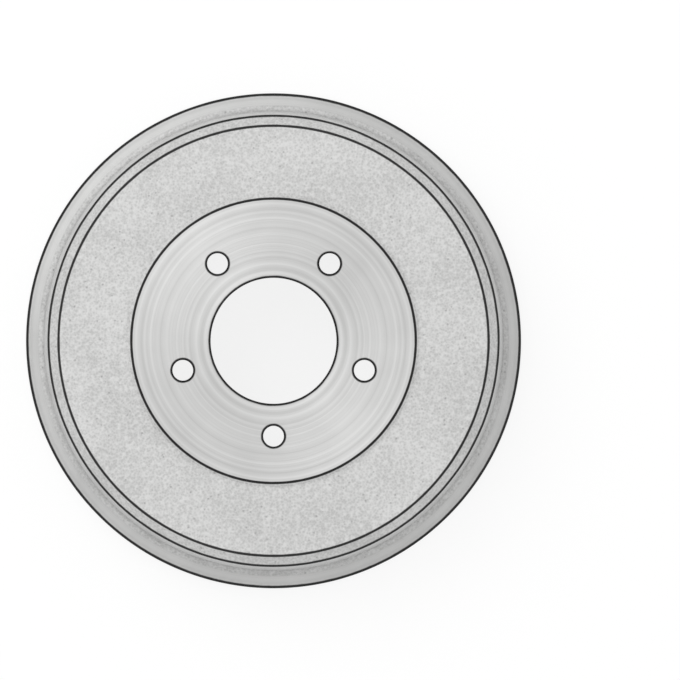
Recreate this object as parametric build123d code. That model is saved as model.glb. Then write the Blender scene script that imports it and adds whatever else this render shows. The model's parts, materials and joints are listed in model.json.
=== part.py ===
# Brake drum for a wheel with five studs: one grey-iron casting, machined where the shoes, the
# backing plate, the axle flange and the wheel meet it. Millimetres. The drum's axis is Z, its
# open rim lies on z = 0 and its wheel face is on top.
import os
from math import radians, tan

from build123d import *

# Braking surface and the ledge where its machining stops
braking_diameter = 254.0
inside_depth = 62.5  # open rim to the web's inner face
ledge_drop = 1.75  # web's inner face down to the ledge
ledge_width = 2.0
ledge_slope_width = 2.4

# Open rim: two lips with the groove for the backing plate's edge between them
inner_lip_width = 8.5
groove_width = 8.8
outer_lip_width = 3.95
groove_depth = 17.0
groove_corner_chamfer = 1.0
lip_chamfer = 1.0
flange_floor = 6.2  # iron behind the groove
flange_corner_chamfer = 1.5

# Outer wall, drafted so that the casting leaves its mould
wall_thickness = 10.55  # where the wall leaves the flange
wall_draft_angle = 3.1
wall_fillet_radius = 3.5
shoulder_width = 6.5  # 45 degree shoulder between wall and web

# Web and the raised pad that the wheel is clamped against
web_thickness = 6.3
pad_diameter = 170.5
pad_height = 1.2
pad_slope_width = 2.15

# Hub: recess for the axle flange, pilot bore and stud holes
recess_diameter = 150.0
recess_depth = 1.9
recess_slope_width = 2.1
pilot_diameter = 75.4
pilot_chamfer = 2.8
stud_count = 5
stud_circle_diameter = 114.3
stud_hole_diameter = 12.4
stud_hole_chamfer = 1.0
first_stud_angle = -90.0
cutter_overshoot = 1.0

# Radii that follow from the sizes above
braking_radius = braking_diameter / 2
groove_inner_radius = braking_radius + inner_lip_width
rim_radius = groove_inner_radius + groove_width + outer_lip_width
wall_radius = braking_radius + wall_thickness
pad_radius = pad_diameter / 2
pilot_radius = pilot_diameter / 2
stud_hole_radius = stud_hole_diameter / 2

# Heights above the open rim that follow from them
flange_height = groove_depth + flange_floor
web_top = inside_depth + web_thickness
wheel_face = web_top + pad_height
hub_face = inside_depth + recess_depth
shoulder_bottom = web_top - shoulder_width


def nearest_corner(section, radius, height):
    return section.vertices().sort_by_distance((radius, height, 0))[0]


# Half-sections are drawn with the radius along X and the height along Y
def casting_section():
    # Outer form as a full block: flange, drafted wall, shoulder, web and wheel pad
    wall_rise = shoulder_bottom - flange_height
    shoulder_radius = wall_radius - wall_rise * tan(radians(wall_draft_angle))
    section = make_face(
        Polyline(
            (0, 0),
            (rim_radius, 0),
            (rim_radius, flange_height),
            (wall_radius, flange_height),
            (shoulder_radius, shoulder_bottom),
            (shoulder_radius - shoulder_width, web_top),
            (pad_radius + pad_slope_width, web_top),
            (pad_radius, wheel_face),
            (0, wheel_face),
            close=True,
        )
    )
    flange_corner = nearest_corner(section, rim_radius, flange_height)
    section = chamfer(flange_corner, flange_corner_chamfer)
    wall_foot = nearest_corner(section, wall_radius, flange_height)
    return fillet(wall_foot, wall_fillet_radius)


def shoe_space():
    # Inside of the drum: braking surface, ledge, cast slope and the web's inner face
    ledge_height = inside_depth - ledge_drop
    ledge_radius = braking_radius - ledge_width
    return make_face(
        Polyline(
            (0, 0),
            (braking_radius, 0),
            (braking_radius, ledge_height),
            (ledge_radius, ledge_height),
            (ledge_radius - ledge_slope_width, inside_depth),
            (0, inside_depth),
            close=True,
        )
    )


def hub_opening():
    # Recess that seats on the axle flange, with the pilot bore on through the wheel face
    recess_radius = recess_diameter / 2
    return make_face(
        Polyline(
            (0, inside_depth),
            (recess_radius + recess_slope_width, inside_depth),
            (recess_radius, hub_face),
            (pilot_radius + pilot_chamfer, hub_face),
            (pilot_radius, hub_face + pilot_chamfer),
            (pilot_radius, wheel_face),
            (0, wheel_face),
            close=True,
        )
    )


def backing_plate_groove():
    # Ring groove in the rim, its floor corners broken
    block = Rectangle(groove_width, groove_depth, align=Align.MIN)
    groove = Pos(groove_inner_radius, 0) * block
    floor_corners = groove.vertices().group_by(Axis.Y)[-1]
    return chamfer(floor_corners, groove_corner_chamfer)


def stud_hole():
    # Through hole, chamfered where the stud enters from the axle flange
    hole_bottom = hub_face - cutter_overshoot
    hole_length = wheel_face + cutter_overshoot - hole_bottom
    standing = (Align.CENTER, Align.CENTER, Align.MIN)
    hole = Pos(0, 0, hole_bottom) * Cylinder(stud_hole_radius, hole_length, align=standing)
    mouth_radius = stud_hole_radius + stud_hole_chamfer
    mouth = Cone(mouth_radius, stud_hole_radius, stud_hole_chamfer, align=standing)
    return hole + Pos(0, 0, hub_face) * mouth


def brake_drum():
    section = casting_section() - shoe_space() - hub_opening() - backing_plate_groove()
    lip_corners = section.vertices().group_by(Axis.Y)[0]
    section = chamfer(lip_corners, lip_chamfer)
    drum = revolve(Plane.XZ * section, Axis.Z)
    stud_places = PolarLocations(stud_circle_diameter / 2, stud_count, first_stud_angle)
    return drum - stud_places * stud_hole()


os.makedirs("parts", exist_ok=True)
export_step(brake_drum(), "parts/brake_drum.step")
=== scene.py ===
import json
from collections import namedtuple
from math import atan2, cos, pi, radians, sin, tan

import bmesh
import bpy
from mathutils import Matrix, Vector, noise


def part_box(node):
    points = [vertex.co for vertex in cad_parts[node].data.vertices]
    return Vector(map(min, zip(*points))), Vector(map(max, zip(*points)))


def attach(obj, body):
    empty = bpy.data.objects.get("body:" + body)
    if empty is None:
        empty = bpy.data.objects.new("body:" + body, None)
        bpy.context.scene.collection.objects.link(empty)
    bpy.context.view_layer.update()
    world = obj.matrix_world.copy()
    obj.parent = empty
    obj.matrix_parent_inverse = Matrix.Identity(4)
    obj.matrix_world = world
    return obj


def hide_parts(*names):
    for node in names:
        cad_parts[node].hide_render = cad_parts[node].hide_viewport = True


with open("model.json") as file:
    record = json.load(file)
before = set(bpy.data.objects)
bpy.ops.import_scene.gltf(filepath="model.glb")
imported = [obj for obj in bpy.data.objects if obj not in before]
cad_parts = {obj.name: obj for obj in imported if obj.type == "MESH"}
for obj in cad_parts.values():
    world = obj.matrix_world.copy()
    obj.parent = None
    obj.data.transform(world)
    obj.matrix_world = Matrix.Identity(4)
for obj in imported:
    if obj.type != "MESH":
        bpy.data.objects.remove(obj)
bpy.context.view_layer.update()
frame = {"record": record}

mm = 0.001

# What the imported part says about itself: its box and the sizes of its mounts
drumLow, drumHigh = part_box("brake_drum")
mounts = {mount["name"]: mount for mount in frame["record"]["mounts"]}
rimRadius = min(drumHigh.x, drumHigh.y, -drumLow.x, -drumLow.y)
wheelFace = drumHigh.z
hubFace = mounts["hub_face"]["pos_m"][2]
brakingRadius = mounts["braking_surface"]["dims"]["r_mm"] * mm
pilotRadius = mounts["pilot_bore"]["dims"]["r_mm"] * mm
studCircle = mounts["stud_holes"]["dims"]["pcd_mm"] * mm
studCount = mounts["stud_holes"]["dims"]["count"]
studRadius = mounts["stud_holes"]["dims"]["hole_r_mm"] * mm
print("frame loaded, rim radius", round(rimRadius / mm, 2), "mm")

# The casting in mm and degrees: its section, its broken edges, how finely it is divided and how
# far its cast skin swells
drum = {
    "innerLip": 8.5,  # from the braking surface to the groove
    "groove": 8.8,  # its width
    "grooveDepth": 17.0,
    "grooveCorner": 1.0,  # chamfers of the groove's floor
    "lipChamfer": 1.0,
    "flangeHeight": 23.2,
    "flangeChamfer": 1.5,
    "wall": 10.55,  # thickness where it leaves the flange
    "wallDraft": 3.1,
    "wallFoot": 3.5,  # radius of the fillet
    "shoulder": 6.5,  # across and down
    "padRadius": 85.25,
    "padSlope": 2.15,
    "padHeight": 1.2,
    "recessRadius": 75.0,
    "recessSlope": 2.1,
    "recessDepth": 1.9,
    "pilotChamfer": 2.8,
    "ledgeDrop": 1.75,
    "ledgeWidth": 2.0,
    "ledgeSlope": 2.4,
    "turnedEdge": 0.3,  # radius at a turned corner
    "castEdge": 0.8,  # and at a cast one
    "segments": 480,  # round the axis
    "castStep": 2.1,  # between the rings of the cast skin
    "edgeSteps": 3,  # faces across a broken edge
    "filletSteps": 9,
    "sharpAngle": 38.0,
    "swell": 0.10,
    "swellSize": 14.0,
    "ripple": 0.05,
    "rippleSize": 4.5,
    "rippleStart": (7, 3, 5),
}

studHole = {
    "innerChamfer": 1.0,
    "outerBreak": 0.4,  # at the wheel face
    "overshoot": 1.0,  # of the drill past the iron
    "segments": 60,
    "firstAngle": -90.0,
}

# Dark lines of painted shade along the edges: how far each reaches from its middle in mm, then the
# look of them all. The tone is the share of the iron's colour that is left in a line, and the fade
# gives the shares of the reach between which the colour comes back.
edgeShadeLine = {
    "lip": 0.8,
    "flange": 1.15,
    "shoulderFoot": 1.25,
    "shoulderFootShift": 0.45,
    "shoulderTop": 0.9,
    "pad": 0.85,
    "pilot": 1.4,
    "pilotChamferTop": 0.6,
    "pilotChamferFoot": 0.7,
    "recess": 0.7,
    "ledge": 0.7,
    "stud": 1.4,
    "studChamfer": 0.6,
    "tone": 0.03,
    "fade": (0.7, 1.25),
    "waver": 0.12,
    "waverSize": 5.0,
    "waverSpread": (0.3, 0.7),
}

# The flat map for baking the surface: bands of the section unrolled into rows, with
# a gap in mm between them and a margin at each side as a share of the map's width
flatMap = {
    "name": "OFBake",
    "rowGap": 1.8,
    "sideMargin": 0.002,
}

# Surface finishes by the index of their material on the casting
castSkin, turnedFace, turnedSide, shoeTrack, drilledHole = range(5)

# A point of the section's outline, with what holds for the strip that follows it
sectionPoint = namedtuple("sectionPoint", "place finish swells band")


def size(name):
    return drum[name] * mm


def lineReach(name):
    return edgeShadeLine[name] * mm


def drawSection():
    # Bands round the half-section, each with its rows in the flat map and its corners. A corner is
    # its place, the radius that breaks it and the finish of the run that follows. Then the edges
    # that get a dark line of painted shade, each with the middle and the reach of its line.
    turned = size("turnedEdge")
    cast = size("castEdge")
    lip = size("lipChamfer")
    corner = size("grooveCorner")
    grooveInner = brakingRadius + size("innerLip")
    grooveOuter = grooveInner + size("groove")
    grooveFloor = size("grooveDepth")
    flangeTop = size("flangeHeight")
    flangeBreak = size("flangeChamfer")
    webTop = wheelFace - size("padHeight")
    webInside = hubFace - size("recessDepth")
    wallRadius = brakingRadius + size("wall")
    shoulderFoot = webTop - size("shoulder")
    shoulderRadius = wallRadius - (shoulderFoot - flangeTop) * tan(radians(drum["wallDraft"]))
    padRadius = size("padRadius")
    recessRadius = size("recessRadius")
    pilotLead = size("pilotChamfer")
    ledgeHeight = webInside - size("ledgeDrop")
    ledgeRadius = brakingRadius - size("ledgeWidth")
    footShift = edgeShadeLine["shoulderFootShift"] * mm
    rim = [
        (brakingRadius, lip, turned, turnedFace),
        (brakingRadius + lip, 0, turned, turnedFace),
        (grooveInner - lip, 0, turned, turnedFace),
        (grooveInner, lip, turned, turnedSide),
        (grooveInner, grooveFloor - corner, turned, turnedFace),
        (grooveInner + corner, grooveFloor, turned, turnedFace),
        (grooveOuter - corner, grooveFloor, turned, turnedFace),
        (grooveOuter, grooveFloor - corner, turned, turnedSide),
        (grooveOuter, lip, turned, turnedFace),
        (grooveOuter + lip, 0, turned, turnedFace),
        (rimRadius - lip, 0, turned, turnedFace),
        (rimRadius, lip, turned, turnedSide),
        (rimRadius, flangeTop - flangeBreak, turned, turnedFace),
        (rimRadius - flangeBreak, flangeTop, turned, turnedFace),
    ]
    wall = [
        (wallRadius, flangeTop, size("wallFoot"), castSkin),
        (shoulderRadius, shoulderFoot, cast, castSkin),
    ]
    web = [
        (shoulderRadius - size("shoulder"), webTop, cast, castSkin),
    ]
    wheelPad = [
        (padRadius + size("padSlope"), webTop, cast, castSkin),
        (padRadius, wheelFace, turned, turnedFace),
    ]
    hub = [
        (pilotRadius, wheelFace, turned, turnedSide),
        (pilotRadius, hubFace + pilotLead, turned, turnedFace),
        (pilotRadius + pilotLead, hubFace, turned, turnedFace),
        (recessRadius, hubFace, turned, turnedFace),
    ]
    inside = [
        (recessRadius + size("recessSlope"), webInside, turned, castSkin),
        (ledgeRadius - size("ledgeSlope"), webInside, cast, castSkin),
    ]
    track = [
        (ledgeRadius, ledgeHeight, turned, turnedFace),
        (brakingRadius, ledgeHeight, turned, shoeTrack),
    ]
    bands = [(rim, 2), (wall, 2), (web, 1), (wheelPad, 1), (hub, 1), (inside, 1), (track, 2)]
    edges = [
        (brakingRadius + lip / 2, lip / 2, lineReach("lip")),
        (grooveInner - lip / 2, lip / 2, lineReach("lip")),
        (grooveOuter + lip / 2, lip / 2, lineReach("lip")),
        (rimRadius - lip / 2, lip / 2, lineReach("lip")),
        (rimRadius - flangeBreak / 2, flangeTop - flangeBreak / 2, lineReach("flange")),
        (shoulderRadius - footShift, shoulderFoot + footShift, lineReach("shoulderFoot")),
        (shoulderRadius - size("shoulder"), webTop, lineReach("shoulderTop")),
        (padRadius, wheelFace, lineReach("pad")),
        (pilotRadius, wheelFace, lineReach("pilot")),
        (pilotRadius, hubFace + pilotLead, lineReach("pilotChamferTop")),
        (pilotRadius + pilotLead, hubFace, lineReach("pilotChamferFoot")),
        (recessRadius + size("recessSlope"), webInside, lineReach("recess")),
        (ledgeRadius, ledgeHeight, lineReach("ledge")),
    ]
    return bands, edges


def cornerArc(before, corner, after, radius, steps):
    # Points of the arc that breaks a corner, tangent to both of its runs
    toBefore = (before - corner).normalized()
    toAfter = (after - corner).normalized()
    half = toBefore.angle(toAfter) / 2
    reach = radius / tan(half)
    centre = corner + (toBefore + toAfter).normalized() * radius / sin(half)
    spoke = corner + toBefore * reach - centre
    lastSpoke = corner + toAfter * reach - centre
    turn = atan2(spoke.x * lastSpoke.y - spoke.y * lastSpoke.x, spoke.dot(lastSpoke))
    return [centre + Matrix.Rotation(turn * i / steps, 2) @ spoke for i in range(steps + 1)]


def sectionOutline(bands):
    # The closed outline as points, its corners broken and its cast runs divided
    corners = [(*corner, band) for band, (group, _) in enumerate(bands) for corner in group]
    arcs = []
    for i, (radius, height, edge, _, _) in enumerate(corners):
        before = Vector(corners[i - 1][:2])
        after = Vector(corners[(i + 1) % len(corners)][:2])
        steps = drum["filletSteps"] if edge > size("castEdge") else drum["edgeSteps"]
        arcs.append(cornerArc(before, Vector((radius, height)), after, edge, steps))
    outline = []
    for i, arc in enumerate(arcs):
        _, _, edge, finish, band = corners[i]
        finishBefore = corners[i - 1][3]
        arcFinish = turnedFace if edge == size("turnedEdge") else castSkin
        outline.append(sectionPoint(arc[0], arcFinish, finishBefore == arcFinish == castSkin, band))
        for point in arc[1:-1]:
            outline.append(sectionPoint(point, arcFinish, arcFinish == castSkin, band))
        outline.append(sectionPoint(arc[-1], finish, finish == arcFinish == castSkin, band))
        if finish == castSkin:
            run = arcs[(i + 1) % len(arcs)][0] - arc[-1]
            parts = max(1, round(run.length / size("castStep")))
            for part in range(1, parts):
                outline.append(sectionPoint(arc[-1] + run * part / parts, finish, True, band))
    return outline


def stackRows(outline, rowCounts, drillLength):
    # For each strip of the outline the two heights that it lies between in the flat map, row by
    # row, and the same for the drilled holes, which share the last row
    gap = flatMap["rowGap"] * mm
    starts = []
    bandLengths = [0.0] * len(rowCounts)
    for i, point in enumerate(outline):
        length = (outline[(i + 1) % len(outline)].place - point.place).length
        starts.append((bandLengths[point.band], bandLengths[point.band] + length))
        bandLengths[point.band] += length
    feet = [gap / 2]
    for rows, length in zip(rowCounts, bandLengths):
        feet.append(feet[-1] + rows * (length + gap))
    full = feet[-1] + drillLength + gap / 2
    strips = []
    for point, (low, high) in zip(outline, starts):
        rise = bandLengths[point.band] + gap
        rowFeet = [feet[point.band] + row * rise for row in range(rowCounts[point.band])]
        strips.append([((foot + low) / full, (foot + high) / full) for foot in rowFeet])
    return strips, (feet[-1] / full, (feet[-1] + drillLength) / full)


def layFlat(face, layer, left, right, low, high):
    # Gives a face of four corners its rectangle in the flat map
    margin = flatMap["sideMargin"]
    left = margin + left * (1 - 2 * margin)
    right = margin + right * (1 - 2 * margin)
    for loop, corner in zip(face.loops, ((left, low), (right, low), (right, high), (left, high))):
        loop[layer].uv = corner


def castLift(place):
    # How far the mould's surface stands off the drawn one: a slow swell and a short ripple
    swell = noise.noise(place / size("swellSize"))
    ripple = noise.noise(place / size("rippleSize") + Vector(drum["rippleStart"]))
    return swell * size("swell") + ripple * size("ripple")


def turnedMesh(name, outline, strips, segments, materials):
    # Turns an outline about Z into a closed mesh, and lets its cast rings swell
    mesh = bmesh.new()
    layer = mesh.loops.layers.uv.new(flatMap["name"])
    rings = []
    for i, point in enumerate(outline):
        along = outline[(i + 1) % len(outline)].place - outline[i - 1].place
        off = Vector((along.y, -along.x)).normalized()
        ring = []
        for step in range(segments):
            angle = 2 * pi * step / segments
            outward = Vector((cos(angle), sin(angle), 0))
            place = outward * point.place.x + Vector((0, 0, point.place.y))
            if point.swells:
                place += (outward * off.x + Vector((0, 0, off.y))) * castLift(place)
            ring.append(mesh.verts.new(place))
        rings.append(ring)
    for i, point in enumerate(outline):
        ring = rings[i]
        after = rings[(i + 1) % len(rings)]
        perRow = segments // len(strips[i])
        for step in range(segments):
            nextStep = (step + 1) % segments
            face = mesh.faces.new((ring[step], ring[nextStep], after[nextStep], after[step]))
            face.material_index = point.finish
            face.smooth = True
            row, column = divmod(step, perRow)
            layFlat(face, layer, column / perRow, (column + 1) / perRow, *strips[i][row])
    bmesh.ops.recalc_face_normals(mesh, faces=mesh.faces)
    return meshObject(name, mesh, materials)


def meshObject(name, mesh, materials):
    data = bpy.data.meshes.new(name)
    mesh.to_mesh(data)
    mesh.free()
    for material in materials:
        data.materials.append(material)
    piece = bpy.data.objects.new(name, data)
    bpy.context.scene.collection.objects.link(piece)
    return piece


def drillOutline():
    # Half-section of one stud hole's drill, flared at both ends past the iron
    chamfer = studHole["innerChamfer"] * mm
    edge = studHole["outerBreak"] * mm
    overshoot = studHole["overshoot"] * mm
    return [
        Vector((studRadius + chamfer + overshoot, hubFace - overshoot)),
        Vector((studRadius, hubFace + chamfer)),
        Vector((studRadius, wheelFace - edge)),
        Vector((studRadius + edge + overshoot, wheelFace + overshoot)),
    ]


def studCutter(outline, row, materials):
    # The five drills, side by side in their row of the flat map
    mesh = bmesh.new()
    layer = mesh.loops.layers.uv.new(flatMap["name"])
    lengths = [(after - before).length for before, after in zip(outline, outline[1:])]
    low, high = row
    heights = [high - (high - low) * sum(lengths[:i]) / sum(lengths) for i in range(len(outline))]
    segments = studHole["segments"]
    for hole in range(studCount):
        angle = radians(studHole["firstAngle"]) + 2 * pi * hole / studCount
        centre = Vector((cos(angle), sin(angle), 0)) * studCircle / 2
        rings = []
        for radius, height in outline:
            # Turned by half a step, so that no point falls on a spoke of the casting
            spokes = [angle + 2 * pi * (step + 0.5) / segments for step in range(segments)]
            places = [centre + Vector((radius * cos(a), radius * sin(a), height)) for a in spokes]
            rings.append([mesh.verts.new(place) for place in places])
        mesh.faces.new(rings[0])
        mesh.faces.new(rings[-1])
        for i, (ring, after) in enumerate(zip(rings, rings[1:])):
            for step in range(segments):
                nextStep = (step + 1) % segments
                face = mesh.faces.new((ring[step], ring[nextStep], after[nextStep], after[step]))
                left = (hole + step / segments) / studCount
                right = (hole + (step + 1) / segments) / studCount
                layFlat(face, layer, left, right, heights[i], heights[i + 1])
    for face in mesh.faces:
        face.material_index = drilledHole
        face.smooth = True
    bmesh.ops.recalc_face_normals(mesh, faces=mesh.faces)
    return meshObject("studCutter", mesh, materials)


def applyModifiers(piece):
    graph = bpy.context.evaluated_depsgraph_get()
    made = bpy.data.meshes.new_from_object(piece.evaluated_get(graph), depsgraph=graph)
    old = piece.data
    made.name = old.name
    piece.modifiers.clear()
    piece.data = made
    bpy.data.meshes.remove(old)


def drumCasting(bands, materials):
    outline = sectionOutline(bands)
    drill = drillOutline()
    drillLength = sum((after - before).length for before, after in zip(drill, drill[1:]))
    strips, drillRow = stackRows(outline, [rows for _, rows in bands], drillLength)
    piece = turnedMesh("drum_casting", outline, strips, drum["segments"], materials)
    cutter = studCutter(drill, drillRow, materials)
    holes = piece.modifiers.new("studHoles", "BOOLEAN")
    holes.object = cutter
    holes.operation = "DIFFERENCE"
    holes.solver = "EXACT"
    applyModifiers(piece)
    bpy.data.objects.remove(cutter)
    piece.data.set_sharp_from_angle(angle=radians(drum["sharpAngle"]))
    evenNormals = piece.modifiers.new("evenNormals", "WEIGHTED_NORMAL")
    evenNormals.keep_sharp = True
    applyModifiers(piece)
    triangles = sum(len(face.vertices) - 2 for face in piece.data.polygons)
    print("casting made,", triangles, "triangles")
    return piece


# Finishes: tones are linear, sizes and heights of marks in mm. A spread gives the two values of a
# noise between which the tone, the roughness or the width goes from one end to the other.
# Painted shade in the inner corners, found by ambient occlusion: the share of colour left, the
# reach in mm, the rays and the openness over which it fades in
creviceShade = {
    "tone": 0.60,
    "reach": 3.0,
    "rays": 8,
    "openness": (0.99, 0.75),
}

castIron = {
    "light": (0.66, 0.66, 0.655),
    "dark": (0.48, 0.48, 0.475),
    # colour painted into the pits: painted shade in their hollows
    "pitTone": (0.24, 0.24, 0.24),
    "metal": 0.5,
    "roughness": (0.50, 0.70),
    "mottle": 26.0,
    "grain": 2.4,
    "dimple": 1.5,
    "peel": 5.0,
    "pit": 5.5,
    "pitEdge": (0.05, 0.16),
    "pitShade": 0.5,
    "dimpleGain": 0.9,
    "dimpleShare": 0.35,
    "mottleShare": 0.2,
    "toneSpread": (0.36, 0.60),
    "grainSpread": (0.3, 0.7),
    "grainHeight": 0.30,
    "dimpleHeight": 0.10,
    "peelHeight": 0.35,
    "pitHeight": 0.12,
}

turnedIron = {
    "turnedFace": {
        "across": "radius",
        "light": (0.62, 0.62, 0.615),
        "dark": (0.51, 0.51, 0.505),
        "roughness": (0.32, 0.46),
        "band": 3.0,
        "feed": 0.8,
        "feedHeight": 0.05,
        "anisotropy": 0.5,
    },
    "turnedSide": {
        "across": "height",
        "light": (0.62, 0.62, 0.615),
        "dark": (0.52, 0.52, 0.515),
        "roughness": (0.32, 0.46),
        "band": 2.2,
        "feed": 0.7,
        "feedHeight": 0.05,
        "anisotropy": 0.5,
    },
    "shoeTrack": {
        "across": "height",
        "light": (0.64, 0.64, 0.64),
        "dark": (0.55, 0.55, 0.55),
        "roughness": (0.24, 0.34),
        "band": 6.0,
        "feed": 0.5,
        "feedHeight": 0.02,
        "anisotropy": 0.6,
    },
    "drilledHole": {
        "across": "height",
        "light": (0.58, 0.58, 0.575),
        "dark": (0.44, 0.44, 0.435),
        "roughness": (0.38, 0.52),
        "band": 1.6,
        "feed": 0.6,
        "feedHeight": 0.08,
        "anisotropy": 0.0,
    },
    "metal": 0.8,
    "sheenTurn": 0.25,  # share of a full turn
    "cloud": 30.0,
    "cloudShare": 0.3,
    "toneSpread": (0.34, 0.66),
    "feedSpread": (0.3, 0.7),
}


def newMaterial(name):
    material = bpy.data.materials.new(name)
    material.use_nodes = True
    tree = material.node_tree
    tree.nodes.clear()
    output = tree.nodes.new("ShaderNodeOutputMaterial")
    shader = tree.nodes.new("ShaderNodeBsdfPrincipled")
    tree.links.new(shader.outputs["BSDF"], output.inputs["Surface"])
    return material, tree, shader


def plug(tree, socket, value):
    if isinstance(value, bpy.types.NodeSocket):
        tree.links.new(value, socket)
    else:
        socket.default_value = value


def mathNode(tree, operation, *values):
    node = tree.nodes.new("ShaderNodeMath")
    node.operation = operation
    for socket, value in zip(node.inputs, values):
        plug(tree, socket, value)
    return node.outputs[0]


def blendOf(tree, first, second, share):
    # Two noises added together, the second with this share
    kept = mathNode(tree, "MULTIPLY", first, 1 - share)
    return mathNode(tree, "MULTIPLY_ADD", second, share, kept)


def mapRange(tree, value, fromLow, fromHigh, toLow=0.0, toHigh=1.0, smooth=False):
    node = tree.nodes.new("ShaderNodeMapRange")
    node.interpolation_type = "SMOOTHSTEP" if smooth else "LINEAR"
    node.inputs["From Min"].default_value = fromLow
    node.inputs["From Max"].default_value = fromHigh
    node.inputs["To Min"].default_value = toLow
    node.inputs["To Max"].default_value = toHigh
    plug(tree, node.inputs["Value"], value)
    return node.outputs["Result"]


def mixColor(tree, factor, first, second, blend="MIX"):
    node = tree.nodes.new("ShaderNodeMix")
    node.data_type = "RGBA"
    node.blend_type = blend
    plug(tree, node.inputs["Factor"], factor)
    for name, color in (("A", first), ("B", second)):
        socket = next(s for s in node.inputs if s.name == name and s.type == "RGBA")
        plug(tree, socket, color if isinstance(color, bpy.types.NodeSocket) else (*color, 1))
    return next(s for s in node.outputs if s.type == "RGBA")


def noiseAt(tree, place, featureSize, detail=2.0, roughness=0.5):
    node = tree.nodes.new("ShaderNodeTexNoise")
    node.inputs["Scale"].default_value = 1 / (featureSize * mm)
    node.inputs["Detail"].default_value = detail
    node.inputs["Roughness"].default_value = roughness
    plug(tree, node.inputs["Vector"], place)
    return node.outputs["Fac"]


def noiseAlong(tree, distance, featureSize, detail=2.0):
    # Noise of one number, for marks that run round the whole drum
    node = tree.nodes.new("ShaderNodeTexNoise")
    node.noise_dimensions = "1D"
    node.inputs["Scale"].default_value = 1 / (featureSize * mm)
    node.inputs["Detail"].default_value = detail
    plug(tree, node.inputs["W"], distance)
    return node.outputs["Fac"]


def cellDistance(tree, place, cellSize):
    # How far a place is from the middle of its cell
    node = tree.nodes.new("ShaderNodeTexVoronoi")
    node.inputs["Scale"].default_value = 1 / (cellSize * mm)
    tree.links.new(place, node.inputs["Vector"])
    return node.outputs["Distance"]


def distanceFromAxis(tree, place):
    flat = tree.nodes.new("ShaderNodeVectorMath")
    flat.operation = "MULTIPLY"
    flat.inputs[1].default_value = (1, 1, 0)
    tree.links.new(place, flat.inputs[0])
    length = tree.nodes.new("ShaderNodeVectorMath")
    length.operation = "LENGTH"
    tree.links.new(flat.outputs["Vector"], length.inputs[0])
    return length.outputs["Value"]


def heightAbove(tree, place):
    split = tree.nodes.new("ShaderNodeSeparateXYZ")
    tree.links.new(place, split.inputs["Vector"])
    return split.outputs["Z"]


def creviceShadeMask(tree):
    # 0 on open surface, 1 deep in an inner corner, where painted shade darkens the colour
    node = tree.nodes.new("ShaderNodeAmbientOcclusion")
    node.samples = creviceShade["rays"]
    node.only_local = True
    node.inputs["Distance"].default_value = creviceShade["reach"] * mm
    return mapRange(tree, node.outputs["AO"], *creviceShade["openness"], smooth=True)


def nearestLine(tree, across, height, lines):
    # 0 in the middle of the nearest line, 1 where its reach ends
    here = tree.nodes.new("ShaderNodeCombineXYZ")
    plug(tree, here.inputs["X"], across)
    plug(tree, here.inputs["Y"], height)
    nearest = None
    for lineAcross, lineHeight, reach in lines:
        gap = tree.nodes.new("ShaderNodeVectorMath")
        gap.operation = "DISTANCE"
        gap.inputs[1].default_value = (lineAcross, lineHeight, 0)
        tree.links.new(here.outputs["Vector"], gap.inputs[0])
        share = mathNode(tree, "MULTIPLY", gap.outputs["Value"], 1 / reach)
        nearest = share if nearest is None else mathNode(tree, "MINIMUM", share, nearest)
    return nearest


def fromStudHole(tree, place, radius):
    # Distance from the axis of the nearest stud hole
    split = tree.nodes.new("ShaderNodeSeparateXYZ")
    tree.links.new(place, split.inputs["Vector"])
    turn = mathNode(tree, "ARCTAN2", split.outputs["Y"], split.outputs["X"])
    firstHole = radians(studHole["firstAngle"])
    share = 2 * pi / studCount
    turn = mathNode(tree, "SUBTRACT", turn, firstHole)
    turn = mathNode(tree, "WRAP", turn, share / 2, -share / 2)
    along = mathNode(tree, "MULTIPLY", radius, mathNode(tree, "COSINE", turn))
    aside = mathNode(tree, "MULTIPLY", radius, mathNode(tree, "SINE", turn))
    along = mathNode(tree, "SUBTRACT", along, studCircle / 2)
    squares = mathNode(tree, "MULTIPLY_ADD", along, along, mathNode(tree, "MULTIPLY", aside, aside))
    return mathNode(tree, "SQRT", squares)


def edgeShadeMask(tree, edges):
    # 1 along the edges where lines of painted shade go, in lines whose width wavers a little
    place = tree.nodes.new("ShaderNodeTexCoord").outputs["Object"]
    radius = distanceFromAxis(tree, place)
    height = heightAbove(tree, place)
    chamfer = studHole["innerChamfer"] * mm
    studEdges = [
        (studRadius, wheelFace, lineReach("stud")),
        (studRadius, hubFace + chamfer, lineReach("studChamfer")),
        (studRadius + chamfer, hubFace, lineReach("studChamfer")),
    ]
    ring = nearestLine(tree, radius, height, edges)
    hole = nearestLine(tree, fromStudHole(tree, place, radius), height, studEdges)
    most = edgeShadeLine["waver"] / 2
    waver = noiseAt(tree, place, edgeShadeLine["waverSize"])
    waver = mapRange(tree, waver, *edgeShadeLine["waverSpread"], -most, most)
    share = mathNode(tree, "ADD", mathNode(tree, "MINIMUM", ring, hole), waver)
    return mapRange(tree, share, *edgeShadeLine["fade"], 1.0, 0.0, smooth=True)


def darkened(tree, color, mask, tone):
    # The colour itself where the mask is 0, and this share of it where the mask is 1
    dark = mixColor(tree, 1.0, color, (tone, tone, tone), "MULTIPLY")
    return mixColor(tree, mask, color, dark)


def paintedShadeTones(tree, color, edges):
    # Painted shade in the crevices and a dark line of painted shade along each broken edge
    color = darkened(tree, color, creviceShadeMask(tree), creviceShade["tone"])
    return darkened(tree, color, edgeShadeMask(tree, edges), edgeShadeLine["tone"])


def bump(tree, height, distance, under=None):
    node = tree.nodes.new("ShaderNodeBump")
    node.inputs["Strength"].default_value = 1.0
    node.inputs["Distance"].default_value = distance * mm
    plug(tree, node.inputs["Height"], height)
    if under is not None:
        tree.links.new(under, node.inputs["Normal"])
    return node.outputs["Normal"]


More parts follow.
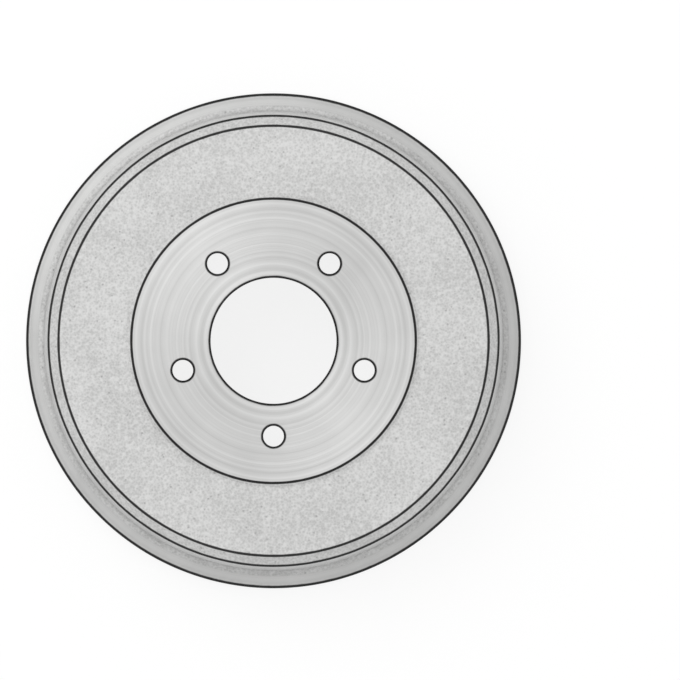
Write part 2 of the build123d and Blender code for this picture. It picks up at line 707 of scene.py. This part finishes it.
def castSkinMaterial(edges):
    # Sand-cast and blasted skin: grain, dimples from the shot, an orange-peel swell and a few pits
    material, tree, shader = newMaterial("castSkin")
    place = tree.nodes.new("ShaderNodeTexCoord").outputs["Object"]
    mottle = noiseAt(tree, place, castIron["mottle"], 2.0)
    grain = noiseAt(tree, place, castIron["grain"], 3.0, 0.7)
    peel = noiseAt(tree, place, castIron["peel"])
    dimple = cellDistance(tree, place, castIron["dimple"])
    pit = cellDistance(tree, place, castIron["pit"])
    pit = mapRange(tree, pit, *castIron["pitEdge"], 1.0, 0.0, smooth=True)
    # Dimples darker in their middles: painted shade in their hollows, mixed into the speckled tone
    dimpleShadeTone = mathNode(tree, "MULTIPLY", dimple, castIron["dimpleGain"])
    speckle = blendOf(tree, grain, dimpleShadeTone, castIron["dimpleShare"])
    speckle = blendOf(tree, speckle, mottle, castIron["mottleShare"])
    tone = mapRange(tree, speckle, *castIron["toneSpread"])
    color = mixColor(tree, tone, castIron["dark"], castIron["light"])
    # Pits painted darker: painted shade in their hollows
    pitShade = mathNode(tree, "MULTIPLY", pit, castIron["pitShade"])
    color = mixColor(tree, pitShade, color, castIron["pitTone"])
    tree.links.new(paintedShadeTones(tree, color, edges), shader.inputs["Base Color"])
    shader.inputs["Metallic"].default_value = castIron["metal"]
    roughness = mapRange(tree, grain, *castIron["grainSpread"], *castIron["roughness"])
    tree.links.new(roughness, shader.inputs["Roughness"])
    relief = bump(tree, peel, castIron["peelHeight"])
    relief = bump(tree, grain, castIron["grainHeight"], relief)
    relief = bump(tree, dimple, castIron["dimpleHeight"], relief)
    relief = bump(tree, mathNode(tree, "SUBTRACT", 1.0, pit), castIron["pitHeight"], relief)
    tree.links.new(relief, shader.inputs["Normal"])
    return material


def turnedMaterial(name, edges):
    # Turned iron: bands of tone left by the tool, fine feed marks and a sheen drawn out across them
    finish = turnedIron[name]
    material, tree, shader = newMaterial(name)
    place = tree.nodes.new("ShaderNodeTexCoord").outputs["Object"]
    across = {"radius": distanceFromAxis, "height": heightAbove}[finish["across"]](tree, place)
    band = noiseAlong(tree, across, finish["band"], 3.0)
    feed = noiseAlong(tree, across, finish["feed"], 2.0)
    cloud = noiseAt(tree, place, turnedIron["cloud"], 2.0)
    tone = blendOf(tree, band, cloud, turnedIron["cloudShare"])
    tone = mapRange(tree, tone, *turnedIron["toneSpread"])
    color = mixColor(tree, tone, finish["dark"], finish["light"])
    tree.links.new(paintedShadeTones(tree, color, edges), shader.inputs["Base Color"])
    shader.inputs["Metallic"].default_value = turnedIron["metal"]
    shader.inputs["Anisotropic"].default_value = finish["anisotropy"]
    shader.inputs["Anisotropic Rotation"].default_value = turnedIron["sheenTurn"]
    tangent = tree.nodes.new("ShaderNodeTangent")
    tangent.direction_type = "RADIAL"
    tangent.axis = "Z"
    tree.links.new(tangent.outputs["Tangent"], shader.inputs["Tangent"])
    roughness = mapRange(tree, feed, *turnedIron["feedSpread"], *finish["roughness"])
    tree.links.new(roughness, shader.inputs["Roughness"])
    tree.links.new(bump(tree, feed, finish["feedHeight"]), shader.inputs["Normal"])
    return material


# Floor, light and camera: lengths in metres, powers in watts
studio = {
    "floorSize": 6.0,
    "floorGlow": 0.83,
    "floorShade": 0.18,
    "floorAlbedo": 0.75,
    "worldFill": 0.80,
    "keyPower": 15.0,
    "keySize": 1.8,
    "keyPlace": (-0.95, 1.0, 1.9),
    "frameWidth": 0.4073,
    "pictureSide": 680,
    "drumPixel": (273.55, 340.8),
    "cameraHeight": 1.2,
}


def seenDirectly(tree):
    # 1 for rays that show the backdrop itself: to the camera, in a reflection or through glass
    path = tree.nodes.new("ShaderNodeLightPath")
    seen = mathNode(tree, "MAXIMUM", path.outputs["Is Camera Ray"], path.outputs["Is Glossy Ray"])
    return mathNode(tree, "MAXIMUM", seen, path.outputs["Is Transmission Ray"])


def whiteWorld():
    world = bpy.data.worlds.new("whiteWorld")
    world.use_nodes = True
    tree = world.node_tree
    tree.nodes.clear()
    output = tree.nodes.new("ShaderNodeOutputWorld")
    background = tree.nodes.new("ShaderNodeBackground")
    background.inputs["Color"].default_value = (1, 1, 1, 1)
    strength = mapRange(tree, seenDirectly(tree), 0.0, 1.0, studio["worldFill"], 1.0)
    tree.links.new(strength, background.inputs["Strength"])
    tree.links.new(background.outputs["Background"], output.inputs["Surface"])
    bpy.context.scene.world = world


def floorMaterial():
    # White when looked at, apart from the shadow, and plain pale card for the light it gives back
    material = bpy.data.materials.new("floorWhite")
    material.use_nodes = True
    tree = material.node_tree
    tree.nodes.clear()
    output = tree.nodes.new("ShaderNodeOutputMaterial")
    card = tree.nodes.new("ShaderNodeBsdfDiffuse")
    card.inputs["Color"].default_value = (*[studio["floorAlbedo"]] * 3, 1)
    shade = tree.nodes.new("ShaderNodeBsdfDiffuse")
    shade.inputs["Color"].default_value = (*[studio["floorShade"]] * 3, 1)
    glow = tree.nodes.new("ShaderNodeEmission")
    glow.inputs["Color"].default_value = (1, 1, 1, 1)
    glow.inputs["Strength"].default_value = studio["floorGlow"]
    both = tree.nodes.new("ShaderNodeAddShader")
    tree.links.new(shade.outputs["BSDF"], both.inputs[0])
    tree.links.new(glow.outputs["Emission"], both.inputs[1])
    choice = tree.nodes.new("ShaderNodeMixShader")
    tree.links.new(seenDirectly(tree), choice.inputs["Fac"])
    tree.links.new(card.outputs["BSDF"], choice.inputs[1])
    tree.links.new(both.outputs["Shader"], choice.inputs[2])
    tree.links.new(choice.outputs["Shader"], output.inputs["Surface"])
    return material


def addFloor():
    half = studio["floorSize"] / 2
    mesh = bmesh.new()
    corners = [(-half, -half), (half, -half), (half, half), (-half, half)]
    mesh.faces.new([mesh.verts.new((x, y, drumLow.z)) for x, y in corners])
    floor = meshObject("floor", mesh, [floorMaterial()])


def addKeyLight():
    lamp = bpy.data.lights.new("keyLight", "AREA")
    lamp.shape = "DISK"
    lamp.size = studio["keySize"]
    lamp.energy = studio["keyPower"]
    light = bpy.data.objects.new("keyLight", lamp)
    light.location = studio["keyPlace"]
    aim = Vector((0, 0, wheelFace)) - light.location
    light.rotation_euler = aim.to_track_quat("-Z", "Y").to_euler()
    bpy.context.scene.collection.objects.link(light)


def addCamera():
    # Straight down on the wheel face, without perspective, the drum left of the middle
    lens = bpy.data.cameras.new("camera")
    lens.type = "ORTHO"
    lens.ortho_scale = studio["frameWidth"]
    camera = bpy.data.objects.new("camera", lens)
    side = studio["pictureSide"]
    pixel = studio["frameWidth"] / side
    across, down = studio["drumPixel"]
    right = (side / 2 - across) * pixel
    up = (down - side / 2) * pixel
    camera.location = (right, up, studio["cameraHeight"])
    bpy.context.scene.collection.objects.link(camera)
    bpy.context.scene.camera = camera


bands, edges = drawSection()
materials = [castSkinMaterial(edges)]
for name in ("turnedFace", "turnedSide", "shoeTrack", "drilledHole"):
    materials.append(turnedMaterial(name, edges))
print("finishes made,", len(materials))
casting = drumCasting(bands, materials)
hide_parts("brake_drum")
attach(casting, "root")

whiteWorld()
addFloor()
addKeyLight()
addCamera()
bpy.context.scene.view_settings.view_transform = "Standard"
print("studio set")
